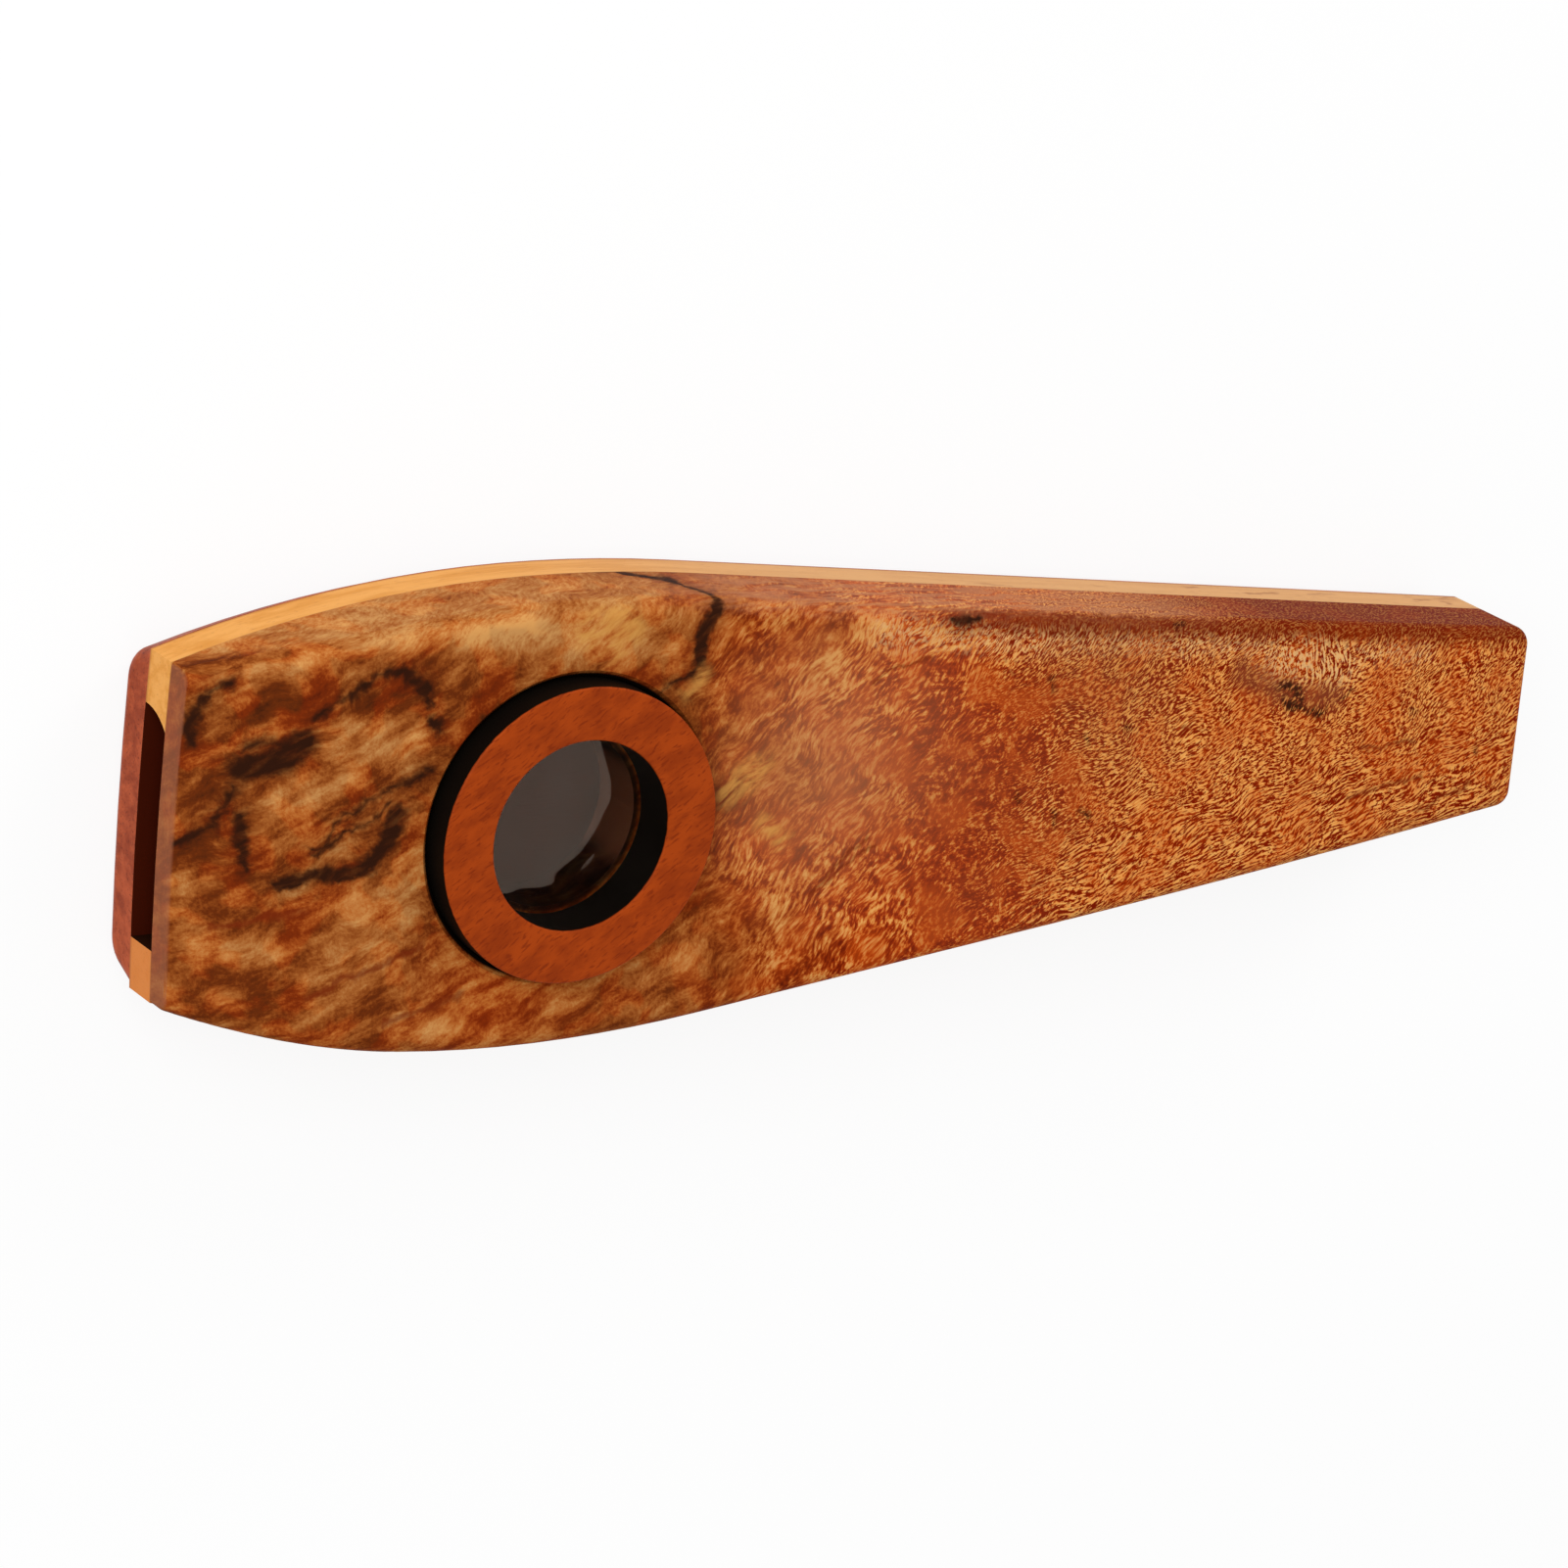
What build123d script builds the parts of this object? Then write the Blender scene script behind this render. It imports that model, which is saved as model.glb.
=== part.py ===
from build123d import *
from math import acos, asin, atan2, degrees, hypot
import os

# The kazoo lies on its back: mouth end toward -X, narrow end toward +X, membrane ring facing +Z.
# Distances along the body are counted from the mouth end and shifted by along().
body_length = 128.3

# Outline shared by the three wooden layers
mouth_half_width = 13.95
mouth_bow = 0.3
belly_at = 31.0
belly_half_width = 18.5
belly_blend_radius = 130.0
end_half_width = 8.0
end_corner_radius = 1.6

# Back plate, the layer the kazoo rests on
back_thickness = 4.4
back_undercut = 1.7
back_seam_land = 0.15
back_edge_round = 2.8
back_mouth_round = 1.5

# Middle layer, two rails with the air channel between them
rail_thickness = 3.63
channel_half_width = 9.65
left_wall_lean = 1.4
left_wall_hollow = 0.4
channel_taper_from = 44.0
outlet_half_width = 3.8

# Front plate with the beak at the mouth and the membrane seat
front_thickness = 7.85
lip_thickness = 2.5
beak_length = 19.0
nose_from = 80.0
nose_drop = 1.5
front_edge_round = 1.5
lip_edge_round = 0.5
membrane_at = 32.2
seat_depth = 2.5
ledge_hole_radius = 7.4

# Retaining ring and the film it holds down
ring_radius = 12.3
ring_bore_radius = 7.88
ring_stand = 2.2
ring_edge_break = 0.2
film_thickness = 0.12

# Fits
seat_clearance = 0.1
seat_bevel = 0.6
film_edge_gap = 0.25
stack_gap = 0.04

# Oversize left on the blanks until their edges are rounded
overrun = 6.0

# Levels above the resting face
back_top = back_thickness
rail_top = back_top + rail_thickness
face_top = rail_top + front_thickness
seat_floor = face_top - seat_depth
film_bottom = seat_floor + stack_gap
film_top = film_bottom + film_thickness
ring_bottom = film_top + stack_gap
ring_top = face_top + ring_stand
seat_radius = ring_radius + seat_clearance
film_radius = seat_radius - film_edge_gap


def along(distance):
    """X of a point at this distance from the mouth end."""
    return distance - body_length / 2


# Paddle outline: one arc from the widest point to the mouth and past it, a second arc that turns
# into the straight taper. The taper leaves that arc on its tangent through the end corner.
belly = (along(belly_at), belly_half_width)
end_corner = (along(body_length), end_half_width)
swell_run = belly_at - mouth_bow
swell_drop = belly_half_width - mouth_half_width
swell_radius = (swell_run**2 + swell_drop**2) / (2 * swell_drop)
swell_angle = asin((swell_run + overrun) / swell_radius)
taper_run = body_length - belly_at
taper_rise = belly_blend_radius - (belly_half_width - end_half_width)
taper_angle = atan2(taper_run, taper_rise) - acos(belly_blend_radius / hypot(taper_run, taper_rise))
left_swell = JernArc(belly, (-1, 0), swell_radius, degrees(swell_angle))
left_blend = JernArc(belly, (1, 0), belly_blend_radius, -degrees(taper_angle))
left_taper = Line(left_blend @ 1, end_corner)
left_side = [left_swell, left_blend, left_taper]
right_side = [mirror(edge, about=Plane.XZ) for edge in left_side]
blank_mouth = Line(left_swell @ 1, right_side[0] @ 1)
narrow_end = Line(left_taper @ 1, right_side[2] @ 1)
sharp_outline = make_face(left_side + [narrow_end] + right_side + [blank_mouth])
blank_outline = fillet(sharp_outline.vertices().sort_by(Axis.X)[-2:], end_corner_radius)

mouth_radius = (mouth_half_width**2 + mouth_bow**2) / (2 * mouth_bow)


def blank(bottom, top):
    """A layer of wood that still runs past the mouth end."""
    return extrude(Pos(0, 0, bottom) * blank_outline, amount=top - bottom, dir=(0, 0, 1))


def trim(bottom, top):
    """A wide disc between two levels: its rim cuts the mouth end to a shallow bow."""
    return Pos(along(mouth_radius), 0, bottom) * Cylinder(
        mouth_radius, top - bottom, align=(Align.CENTER, Align.CENTER, Align.MIN)
    )


# Back plate: long sides cut back under the rails, resting face rounded, mouth edge rounded less
back_blank = extrude(sharp_outline, amount=back_top, dir=(0, 0, 1))
underside = back_blank.faces().sort_by(Axis.Z)[0]
long_sides = underside.edges().sort_by(Axis.X)[1:-1]
back_blank = chamfer(long_sides, back_undercut, back_thickness - back_seam_land, reference=underside)
resting_rim = back_blank.faces().sort_by(Axis.Z)[0].edges().sort_by(Axis.X)[1:]
back_blank = fillet(resting_rim, back_edge_round)
back_plate = back_blank & blank(0, back_top) & trim(-overrun, back_top + overrun)
resting_face = back_plate.faces().sort_by(Axis.Z)[0]
back_plate = fillet(resting_face.edges().sort_by(Axis.X)[0], back_mouth_round)

# Air channel: as wide as the mouth slot under the membrane, then narrowing to the outlet
outlet_slope = (channel_half_width - outlet_half_width) / (body_length - channel_taper_from)


def channel_section(distance, half_width):
    """Channel across the body: the left wall is hollowed and leans in under the front plate."""
    share = half_width / channel_half_width
    left_foot = (half_width, back_top)
    left_head = (half_width - left_wall_lean * share, rail_top)
    left_wall = SagittaArc(left_foot, left_head, -left_wall_hollow * share)
    other_walls = Polyline(left_head, (-half_width, rail_top), (-half_width, back_top), left_foot)
    across = Plane((along(distance), 0, 0), x_dir=(0, 1, 0), z_dir=(1, 0, 0))
    return across * make_face([left_wall, other_walls])


channel = loft(
    [
        channel_section(-overrun, channel_half_width),
        channel_section(channel_taper_from, channel_half_width),
        channel_section(body_length + overrun, outlet_half_width - outlet_slope * overrun),
    ],
    ruled=True,
)
middle_layer = blank(back_top, rail_top) & trim(0, face_top)
rails = (middle_layer - channel).solids().sort_by(Axis.Y)
right_rail = rails[0]
left_rail = rails[-1]

# Front plate: side view with a beak arc rising from the thin lip and a slightly dropping nose
beak_rise = front_thickness - lip_thickness
beak_radius = (beak_length**2 + beak_rise**2) / (2 * beak_rise)
beak_angle = asin((beak_length + overrun / 2) / beak_radius)
beak = JernArc((along(beak_length), face_top), (-1, 0), beak_radius, degrees(beak_angle))
nose = TangentArc(
    (along(nose_from), face_top),
    (along(body_length), face_top - nose_drop),
    tangent=(1, 0),
)
under = Polyline(nose @ 1, (along(body_length), 0), ((beak @ 1).X, 0), beak @ 1)
side_view = make_face([beak, Line(beak @ 0, nose @ 0), nose, under])
side_prism = extrude(Plane.XZ * side_view, amount=2 * belly_half_width, both=True)
front_blank = blank(0, face_top) & side_prism


def is_face_rim(edge):
    """True for the rim of the front face along the sides and round the narrow end."""
    middle = edge @ 0.5
    heading = edge.tangent_at(0.5)
    at_end = middle.X > along(body_length - 0.01)
    along_side = abs(middle.Y) > end_half_width / 2 and abs(heading.X) > 0.1
    return abs(heading.Z) < 0.9 and middle.Z > rail_top / 2 and (at_end or along_side)


front_blank = fillet(front_blank.edges().filter_by(is_face_rim), front_edge_round)
front_blank = front_blank & trim(rail_top, face_top + overrun)


def is_lip_edge(edge):
    """True for the upper edge of the lip, the one that meets the player's mouth."""
    middle = edge @ 0.5
    return middle.X < along(2 * mouth_bow) and middle.Z > rail_top + lip_thickness / 2


front_blank = fillet(front_blank.edges().filter_by(is_lip_edge), lip_edge_round)

# Membrane seat: ledge hole into the channel, ring seat above it, bevelled rim
membrane_x = along(membrane_at)
ledge_hole = Pos(membrane_x, 0, rail_top) * Cylinder(
    ledge_hole_radius, front_thickness, align=(Align.CENTER, Align.CENTER, Align.MIN)
)
ring_seat = Pos(membrane_x, 0, seat_floor) * Cylinder(
    seat_radius, seat_depth, align=(Align.CENTER, Align.CENTER, Align.MIN)
)
rim_bevel = Pos(membrane_x, 0, face_top - seat_bevel) * Cone(
    seat_radius,
    seat_radius + seat_bevel,
    seat_bevel,
    align=(Align.CENTER, Align.CENTER, Align.MIN),
)
front_plate = front_blank - ledge_hole - ring_seat - rim_bevel

# Film disc and retaining ring, both centred on the membrane seat
membrane = Pos(membrane_x, 0, film_bottom) * Cylinder(
    film_radius, film_thickness, align=(Align.CENTER, Align.CENTER, Align.MIN)
)
section_plane = Plane((membrane_x, 0, ring_bottom), x_dir=(1, 0, 0), z_dir=(0, -1, 0))
ring_section = section_plane * make_face(
    Polyline(
        (ring_bore_radius, 0),
        (ring_radius, 0),
        (ring_radius, ring_top - ring_bottom - ring_edge_break),
        (ring_radius - ring_edge_break, ring_top - ring_bottom),
        (ring_bore_radius + ring_edge_break, ring_top - ring_bottom),
        (ring_bore_radius, ring_top - ring_bottom - ring_edge_break),
        close=True,
    )
)
membrane_ring = revolve(ring_section, axis=Axis((membrane_x, 0, 0), (0, 0, 1)))

nodes = {
    "back_plate": back_plate,
    "left_rail": left_rail,
    "right_rail": right_rail,
    "front_plate": front_plate,
    "membrane": membrane,
    "membrane_ring": membrane_ring,
}
os.makedirs("parts", exist_ok=True)
for node, shape in nodes.items():
    export_step(shape, "parts/" + node + ".step")
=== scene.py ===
import math
from functools import reduce

import bpy
from bpy.props import FloatProperty, FloatVectorProperty, IntProperty, PointerProperty
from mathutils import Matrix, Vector


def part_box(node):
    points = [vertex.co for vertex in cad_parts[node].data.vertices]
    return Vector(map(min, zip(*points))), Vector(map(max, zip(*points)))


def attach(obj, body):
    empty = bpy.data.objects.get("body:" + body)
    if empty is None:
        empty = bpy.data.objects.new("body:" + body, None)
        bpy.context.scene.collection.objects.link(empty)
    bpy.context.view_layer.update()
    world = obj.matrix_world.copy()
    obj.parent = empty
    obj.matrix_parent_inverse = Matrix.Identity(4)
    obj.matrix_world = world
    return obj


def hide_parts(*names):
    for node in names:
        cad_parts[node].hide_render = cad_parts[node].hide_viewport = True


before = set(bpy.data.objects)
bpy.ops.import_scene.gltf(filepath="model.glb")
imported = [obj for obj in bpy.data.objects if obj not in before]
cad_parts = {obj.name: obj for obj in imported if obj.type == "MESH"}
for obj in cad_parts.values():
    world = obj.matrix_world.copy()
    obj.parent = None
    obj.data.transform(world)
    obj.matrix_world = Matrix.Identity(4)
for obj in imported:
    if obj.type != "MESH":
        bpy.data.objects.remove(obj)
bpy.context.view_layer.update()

bl_info = {
    "name": "Wooden kazoo",
    "version": (1, 0, 0),
    "blender": (4, 5, 0),
    "location": "View3D > Sidebar > Kazoo",
    "description": "Gives a layered wooden kazoo its woods, its film and its retaining ring",
    "category": "Object",
}

MM = 0.001
ring_low, ring_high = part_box("membrane_ring")
film_low, film_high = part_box("membrane")
plate_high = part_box("front_plate")[1]
ring_centre = (ring_low + ring_high) / 2


def paint(red, green, blue):
    """Linear colour with full alpha from an 8-bit screen colour."""

    def linear(level):
        share = level / 255
        return share / 12.92 if share <= 0.04045 else ((share + 0.055) / 1.055) ** 2.4

    return (linear(red), linear(green), linear(blue), 1.0)


def colour(name, description, default):
    """Colour property with alpha, ready for a shader socket."""
    return FloatVectorProperty(
        name=name, description=description, default=default, subtype="COLOR", size=4, min=0, max=1
    )


def length(name, description, default):
    """Length property in metres."""
    return FloatProperty(
        name=name, description=description, default=default, unit="LENGTH", precision=5
    )


# Figure of the front plate. Each stroke is a half width and the points that it runs through, in mm,
# on the face as seen from above; past the rim they run on down the side.
SPALT_LINES = (
    (0.40, ((-26.9, 26.9), (-24.0, 25.6), (-21.3, 23.8), (-20.3, 21.3), (-19.6, 18.6))),
    (0.50, ((-19.6, 18.6), (-19.8, 17.0), (-20.9, 15.2), (-21.0, 13.2))),
    (0.20, ((-21.0, 13.2), (-22.3, 11.9), (-24.6, 10.5))),
    (0.30, ((-63.6, 8.2), (-63.4, 10.6), (-62.0, 12.8), (-61.1, 13.4))),
    (0.25, ((-60.3, 5.0), (-61.2, 2.6))),
    (0.45, ((-61.2, 2.8), (-61.5, 1.8))),
    (0.20, ((-61.5, 1.8), (-64.1, 0.2))),
    (0.45, ((-59.7, 2.9), (-59.6, 0.6))),
    (0.25, ((-59.6, 0.6), (-58.8, -1.8))),
    (0.18, ((-54.0, -0.4), (-52.2, 2.2), (-50.0, 3.8), (-47.5, 5.2), (-44.8, 6.2))),
    (0.50, ((-56.4, -2.9), (-53.7, -2.0), (-51.6, -2.1))),
    (0.70, ((-51.6, -2.1), (-49.6, -1.6), (-48.1, 0.2), (-47.5, 2.4))),
    (0.18, ((-54.2, 0.2), (-50.9, 1.4), (-48.4, 3.3))),
    (0.22, ((-54.7, 10.4), (-52.7, 12.3), (-50.0, 13.8), (-47.4, 14.4))),
    (0.45, ((-47.6, 14.2), (-46.0, 12.6), (-45.2, 11.5))),
    (0.60, ((-45.1, 10.1), (-44.2, 9.3))),
    (0.25, ((3.0, 14.1), (5.2, 14.2))),
)
DARK_SPECKS = (
    (0.45, ((36.9, 5.7), (38.2, 5.4))),
    (0.35, ((38.2, 5.4), (38.6, 4.2))),
    (0.45, ((37.3, 4.3), (39.1, 3.6))),
    (0.45, ((40.0, 3.2), (41.2, 2.9))),
    (0.15, ((43.4, 3.9), (44.4, 4.6))),
    (0.20, ((59.3, -1.8), (59.2, -2.3))),
    (0.15, ((51.3, 2.2), (51.6, 2.0))),
    (0.20, ((21.0, 3.6), (21.5, 3.2))),
    (0.30, ((10.9, -1.4), (11.2, -1.6))),
    (0.30, ((17.6, -3.6), (18.2, -3.9))),
    (0.30, ((25.0, 12.0), (26.2, 12.3))),
    (0.20, ((13.0, 8.6), (13.6, 7.6))),
    (0.20, ((16.8, 3.4), (17.4, 2.8))),
    (0.25, ((14.6, -3.4), (14.9, -4.2))),
)
SPALT_PATCHES = (
    (1.2, ((-59.6, 6.6), (-57.6, 7.0), (-55.4, 8.5))),
    (0.5, ((-59.4, 8.2), (-57.0, 8.4))),
)
BROWN_CLOUDS = (
    (2.4, ((-61.0, -11.2), (-56.5, -12.6))),
    (1.8, ((-62.5, 6.0), (-61.0, -1.5))),
    (1.6, ((-57.0, 11.5), (-54.0, 10.5))),
    (1.5, ((-50.0, 12.2), (-46.0, 12.8))),
    (2.6, ((12.0, 8.4), (17.0, 7.4), (24.0, 8.2), (35.0, 6.5))),
    (1.2, ((-18.5, 0.2), (-15.5, 0.4))),
    (1.0, ((-12.5, -4.8), (-10.5, -4.4))),
)
KNOT_CLOUDS = (
    (1.2, ((32.5, 7.2), (36.8, 5.2), (42.5, 4.2))),
    (0.6, ((36.6, 5.8), (40.2, 3.6))),
)
RED_STREAKS = (
    (0.28, ((-61.3, -6.5), (-58.1, -6.0), (-54.5, -5.1))),
    (0.30, ((-53.9, -12.4), (-50.9, -10.8), (-47.7, -9.8), (-44.4, -8.5))),
    (0.30, ((-46.9, -14.8), (-44.0, -13.9), (-40.5, -13.1))),
    (0.15, ((-8.6, -8.2), (-6.2, -5.4), (-3.6, -3.6))),
    (0.15, ((-7.6, -7.6), (-5.4, -5.6), (-3.0, -4.4))),
    (0.15, ((-4.6, 9.4), (-3.0, 10.7), (1.0, 11.4))),
    (0.15, ((46.0, -0.8), (48.5, -0.6), (52.0, -0.9))),
    (0.18, ((45.6, -4.9), (48.0, -4.4), (50.5, -4.5), (53.0, -3.9))),
    (0.18, ((53.0, -7.0), (56.5, -6.0), (58.8, -5.2))),
)
PALE_PATCHES = (
    (1.3, ((-31.7, 16.4), (-29.5, 16.9), (-27.9, 16.2))),
    (0.8, ((-28.6, 15.8), (-29.0, 14.3))),
    (0.7, ((-20.8, 11.6), (-21.6, 10.3))),
    (1.2, ((-17.0, 1.7), (-14.6, 3.4))),
    (0.8, ((-13.6, -1.6), (-12.0, -2.8))),
)
PALE_CLOUDS_AND_RIM_HIGHLIGHT = (
    # The first three run along the upper rim as a painted highlight; the rest are pale clouds of the
    # figure
    (0.7, ((-59.1, 14.2), (-56.5, 14.9), (-54.2, 15.7))),
    (0.5, ((-51.8, 17.0), (-47.5, 16.9))),
    (0.8, ((-42.2, 16.6), (-38.7, 17.0), (-34.4, 16.8))),
    (1.7, ((-52.8, 8.6), (-49.5, 9.6), (-46.8, 8.2))),
    (0.9, ((-57.2, 3.6), (-54.0, 4.8), (-51.0, 6.6))),
    (0.7, ((-53.6, -0.6), (-51.0, 0.6))),
    (1.3, ((-50.4, -5.8), (-47.4, -4.2), (-45.4, -1.8))),
    (1.1, ((-51.0, -7.4), (-46.4, -7.0))),
    (1.0, ((-62.0, -7.8), (-57.4, -8.2))),
    (0.7, ((-46.0, -15.4), (-40.4, -15.8))),
    (0.8, ((-11.5, -8.6), (-11.6, -14.0))),
    (1.1, ((-10.6, 9.6), (-8.4, 12.6), (-4.0, 14.4))),
    (0.8, ((-14.2, 15.2), (-11.8, 16.2))),
)
# Pale figure along the upper rim, partly a painted highlight where the rim curves
PALE_RIM_FIGURE_AND_HIGHLIGHT = (
    (1.1, ((-4.0, 14.0), (8.0, 12.4), (20.0, 11.2))),
    (0.8, ((20.0, 11.2), (30.0, 10.0), (36.0, 9.2))),
    (1.7, ((36.0, 8.2), (39.6, 8.0), (43.0, 7.0))),
    (0.5, ((44.0, 8.0), (52.0, 7.2))),
)

# Where the front face starts to dip, over which length and how far, in mm: the lip and the narrow end
FACE_DIPS = ((-45.15, -19.0, 5.35), (15.85, 48.3, 1.5))
# The upper rim of the narrow half: slope against the length, and its Y in the middle of the body
RIM_SLOPE = -0.108
RIM_MIDDLE = 13.6
# Round areas as a centre and a radius: smooth rust wood, and flecks that stand steeply
CALM_AREAS = (((8.0, 0.0), 17.0), ((7.0, -9.0), 12.0))
STEEP_AREAS = (((41.0, 7.0), 9.0), ((56.0, 3.0), 12.0))


class KazooFrontPlate(bpy.types.PropertyGroup):
    """Colours and grain of the flecked front plate."""

    umber: colour("Umber", "Darkest clouds of the mouth half", paint(60, 27, 12))
    brown: colour("Brown", "Dark clouds of the mouth half", paint(104, 44, 13))
    chestnut: colour("Chestnut", "Middle tone of the mouth half", paint(136, 68, 24))
    tan: colour("Tan", "Pale clouds of the mouth half", paint(162, 94, 42))
    straw: colour("Straw", "Palest clouds of the mouth half", paint(192, 138, 80))
    maroon: colour("Maroon", "Darkest flecks of the narrow half", paint(122, 24, 2))
    rust: colour("Rust", "Dark flecks of the narrow half", paint(158, 44, 4))
    amber: colour("Amber", "Middle tone of the narrow half", paint(187, 74, 19))
    orange: colour("Orange", "Pale flecks of the narrow half", paint(210, 112, 42))
    cream: colour("Cream", "Palest flecks of the narrow half", paint(234, 168, 90))
    spalt: colour("Spalt", "Dark lines and patches", paint(46, 22, 12))
    streak: colour("Streak", "Red streaks", paint(112, 38, 12))
    patch: colour("Patch", "Pale patches", paint(204, 146, 72))
    # Char also darkens the hole wall under the film as painted shade
    char: colour("Char", "Scorched rim of the membrane seat", paint(14, 9, 6))
    ember: colour("Ember", "Warm clouds of the narrow half", paint(190, 74, 16))
    singe: colour("Singe", "Dark red upper rim of the narrow half", paint(100, 26, 3))
    gold: colour("Gold", "Scattered yellow flecks", paint(232, 152, 74))
    # Painted highlight on the flecks along the upper rim
    fleck_highlight: colour("Fleece", "Pale silky flecks along the upper rim", paint(222, 178, 120))
    haze: colour("Haze", "Dull brown clouds of the narrow half", paint(128, 74, 44))
    # Dun: pale wood beside the ring, and a painted sheen along the upper side
    dun_and_side_sheen: colour("Dun", "Pale haze beside the ring and along the upper side", paint(176, 114, 76))
    # Lip: end grain, paled further by a painted sheen
    lip: colour("Lip", "Pale end grain of the lip", paint(152, 94, 68))
    fleck_length: FloatProperty(
        name="Fleck length", description="Length of a fleck in mm", default=0.55, min=0.1
    )
    fleck_width: FloatProperty(
        name="Fleck width", description="Width of a fleck in mm", default=0.17, min=0.05
    )
    gloss: FloatProperty(
        name="Roughness", description="Roughness of the oiled face", default=0.42, subtype="FACTOR"
    )


class KazooRails(bpy.types.PropertyGroup):
    """Colours of the two golden rails."""

    gold: colour("Gold", "Pale end of the rail wood", paint(226, 160, 82))
    honey: colour("Honey", "Dark end of the rail wood", paint(212, 142, 60))
    pale: colour("Pale", "Paler wood past the ring", paint(200, 156, 112))
    stain: colour("Stain", "Brown stains along the rail", paint(150, 88, 46))
    copper: colour("Copper", "Redder wood of the right rail", paint(206, 116, 52))
    # Painted shade on the rail walls that face the air channel
    channel_shade: colour("Soot", "Darkened walls of the air channel", paint(40, 18, 8))


class KazooBackPlate(bpy.types.PropertyGroup):
    """Colours of the reddish back plate."""

    red: colour("Red brown", "Pale end of the back wood", paint(178, 82, 46))
    deep: colour("Deep red", "Dark end of the back wood", paint(140, 56, 28))
    pore: colour("Pore", "Open pores of the back wood", paint(74, 28, 16))
    # Painted shade on the floor of the air channel
    channel_shade: colour("Soot", "Darkened floor of the air channel", paint(64, 18, 5))


class KazooRing(bpy.types.PropertyGroup):
    """Sizes and colours of the ring that holds the film down."""

    outer_radius: length("Outer radius", "Radius of the outer wall", (ring_high.x - ring_low.x) / 2)
    bore_radius: length("Bore radius", "Radius of the bore", 7.88 * MM)
    bottom: length("Bottom", "Level of the underside", ring_low.z)
    top: length("Top", "Level of the face", ring_high.z)
    edge: length("Edge", "Rounding of the edges", 0.2 * MM)
    facets: IntProperty(name="Facets", description="Faces round the ring", default=192, min=24)
    wood: colour("Wood", "Pale end of the ring wood", paint(162, 63, 14))
    streak: colour("Streak", "Dark streaks of the ring wood", paint(122, 40, 8))
    char: colour("Char", "Scorched walls of the ring", paint(13, 9, 6))


class KazooFilm(bpy.types.PropertyGroup):
    """Sizes and finish of the clear film."""

    radius: length("Radius", "Radius of the film disc", (film_high.x - film_low.x) / 2)
    free_radius: length("Free radius", "Radius inside which the film is not clamped", 7.3 * MM)
    bottom: length("Bottom", "Level of the underside", film_low.z)
    thickness: length("Thickness", "Thickness of the film", film_high.z - film_low.z)
    wrinkle: length("Wrinkle", "Height of the folds in the free part", 0.12 * MM)
    seed: IntProperty(name="Seed", description="Pattern of the folds", default=4)
    tint: colour("Tint", "Colour of the film", paint(236, 232, 226))
    reflection: colour("Reflection", "Colour of the film's reflections", paint(218, 193, 175))
    roughness: FloatProperty(
        name="Roughness", description="Roughness of the film", default=0.02, subtype="FACTOR"
    )


class KazooStage(bpy.types.PropertyGroup):
    """Camera, lights and floor."""

    camera_place: FloatVectorProperty(
        name="Camera place",
        description="Where the camera stands",
        default=(-0.297958, 0.172014, 0.454446),
        subtype="TRANSLATION",
        unit="LENGTH",
    )
    camera_turn: FloatVectorProperty(
        name="Camera turn",
        description="Turn of the camera",
        default=(-0.370334, -0.545950, 0.104896),
        subtype="EULER",
        unit="ROTATION",
    )
    lens: FloatProperty(name="Lens", description="Focal length", default=157.436, unit="CAMERA")
    floor: colour("Floor", "Colour of the floor", (0.95, 0.95, 0.95, 1.0))
    floor_lift: FloatProperty(
        name="Floor lift", description="Share of plain white in the floor", default=0.86, subtype="FACTOR"
    )
    key_power: FloatProperty(
        name="Key", description="Power of the main soft light", default=3.2, unit="POWER"
    )
    rim_power: FloatProperty(
        name="Rim", description="Power of the light behind", default=1.35, unit="POWER"
    )
    sky: FloatProperty(name="Sky", description="Strength of the light from all round", default=0.55)


class Graph:
    """Shorthand for a node tree: each method adds a node and returns the socket to read from."""

    def __init__(self, tree):
        self.tree = tree

    def feed(self, socket, value):
        if isinstance(value, bpy.types.NodeSocket):
            self.tree.links.new(value, socket)
        else:
            socket.default_value = value

    def add(self, kind, inputs, out=0, **settings):
        node = self.tree.nodes.new(kind)
        for name, value in settings.items():
            setattr(node, name, value)
        for key, value in inputs.items():
            self.feed(node.inputs[key], value)
        return None if out is None else node.outputs[out]

    def math(self, operation, *values):
        return self.add("ShaderNodeMath", dict(enumerate(values)), operation=operation)

    def plus(self, *values):
        return reduce(lambda first, second: self.math("ADD", first, second), values)

    def times(self, *values):
        return reduce(lambda first, second: self.math("MULTIPLY", first, second), values)

    def most(self, *values):
        return reduce(lambda first, second: self.math("MAXIMUM", first, second), values)

    def raised(self, value, share, amount):
        """Value plus this share of an amount."""
        return self.math("MULTIPLY_ADD", share, amount, value)

    def vector(self, operation, *values):
        out = 1 if operation in ("DOT_PRODUCT", "LENGTH", "DISTANCE") else 0
        return self.add("ShaderNodeVectorMath", dict(enumerate(values)), out, operation=operation)

    def scaled(self, vector, factor):
        return self.add("ShaderNodeVectorMath", {0: vector, 3: factor}, operation="SCALE")

    def axes(self, vector):
        node = self.tree.nodes.new("ShaderNodeSeparateXYZ")
        self.tree.links.new(vector, node.inputs[0])
        return node.outputs

    def band(self, value, start, stop):
        """Smooth step from 0 at start to 1 at stop; start may be the larger."""
        inputs = {"Value": value, "From Min": start, "From Max": stop}
        return self.add("ShaderNodeMapRange", inputs, interpolation_type="SMOOTHSTEP")


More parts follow.
